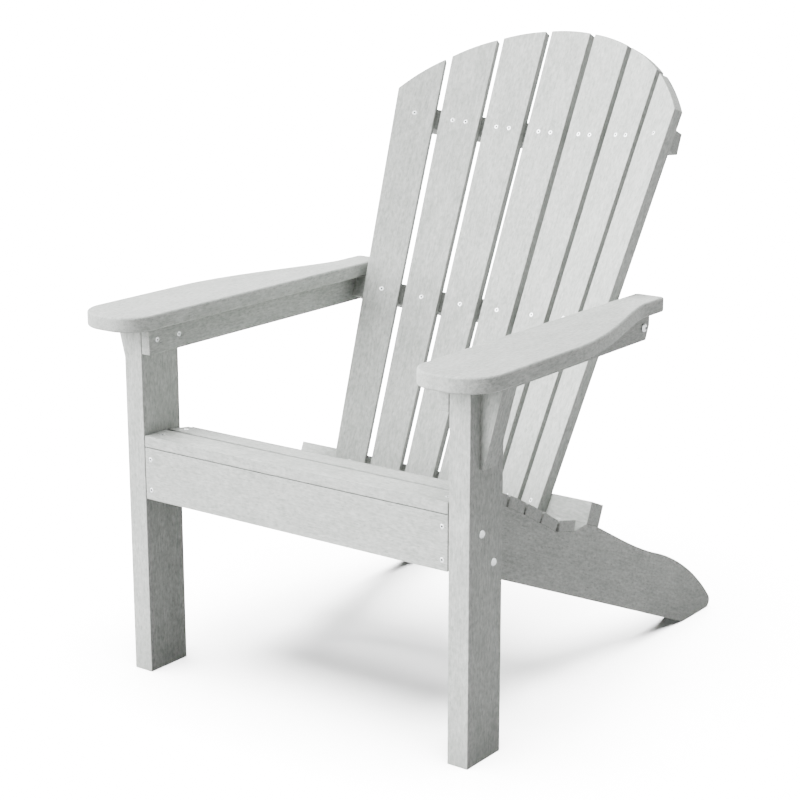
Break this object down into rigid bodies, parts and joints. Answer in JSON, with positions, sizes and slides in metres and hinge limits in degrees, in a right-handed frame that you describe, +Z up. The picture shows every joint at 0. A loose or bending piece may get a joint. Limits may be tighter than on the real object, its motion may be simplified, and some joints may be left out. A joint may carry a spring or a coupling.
{
  "type": "adirondack chair",
  "caption": "Reclined outdoor armchair built from poly lumber boards: slatted seat, fan-shaped arched slat back, wide flat arms on board legs with brackets.",
  "frame": {"origin": "on the ground under the middle of the chair's width and depth", "axes": "+X to the sitter's left along the seat slats, -Y the way the chair faces, +Z up"},
  "size_m": [0.812, 0.9204, 1.054],
  "materials": {
    "poly_lumber": "light grey HDPE lumber with a fine brushed grain, satin matte",
    "stainless_steel": "plain stainless fasteners"
  },
  "bodies": {
    "root": {"left_leg": "poly_lumber", "right_leg": "poly_lumber", "front_apron": "poly_lumber", "left_stringer": "poly_lumber", "right_stringer": "poly_lumber", "seat_slat_1": "poly_lumber", "seat_slat_2": "poly_lumber", "seat_slat_3": "poly_lumber", "seat_slat_4": "poly_lumber", "seat_slat_5": "poly_lumber", "seat_slat_6": "poly_lumber", "seat_slat_7": "poly_lumber", "rear_stretcher": "poly_lumber", "lower_back_support": "poly_lumber", "middle_back_support": "poly_lumber", "upper_back_support": "poly_lumber", "back_slat_1": "poly_lumber", "back_slat_2": "poly_lumber", "back_slat_3": "poly_lumber", "back_slat_4": "poly_lumber", "back_slat_5": "poly_lumber", "back_slat_6": "poly_lumber", "back_slat_7": "poly_lumber", "left_arm": "poly_lumber", "right_arm": "poly_lumber", "left_arm_rail": "poly_lumber", "right_arm_rail": "poly_lumber", "left_arm_bracket": "poly_lumber", "right_arm_bracket": "poly_lumber", "leg_bolts": "stainless_steel", "leg_bolt_washers": "stainless_steel", "leg_bolt_nuts": "stainless_steel", "arm_rail_bolts": "stainless_steel", "rail_screws": "stainless_steel", "apron_screws": "stainless_steel", "seat_slat_screws": "stainless_steel", "lower_back_screws": "stainless_steel", "middle_back_screws": "stainless_steel", "upper_back_screws": "stainless_steel", "support_screws": "stainless_steel", "stretcher_screws": "stainless_steel", "arm_screws": "stainless_steel", "bracket_screws": "stainless_steel"}
  },
  "joints": []
}
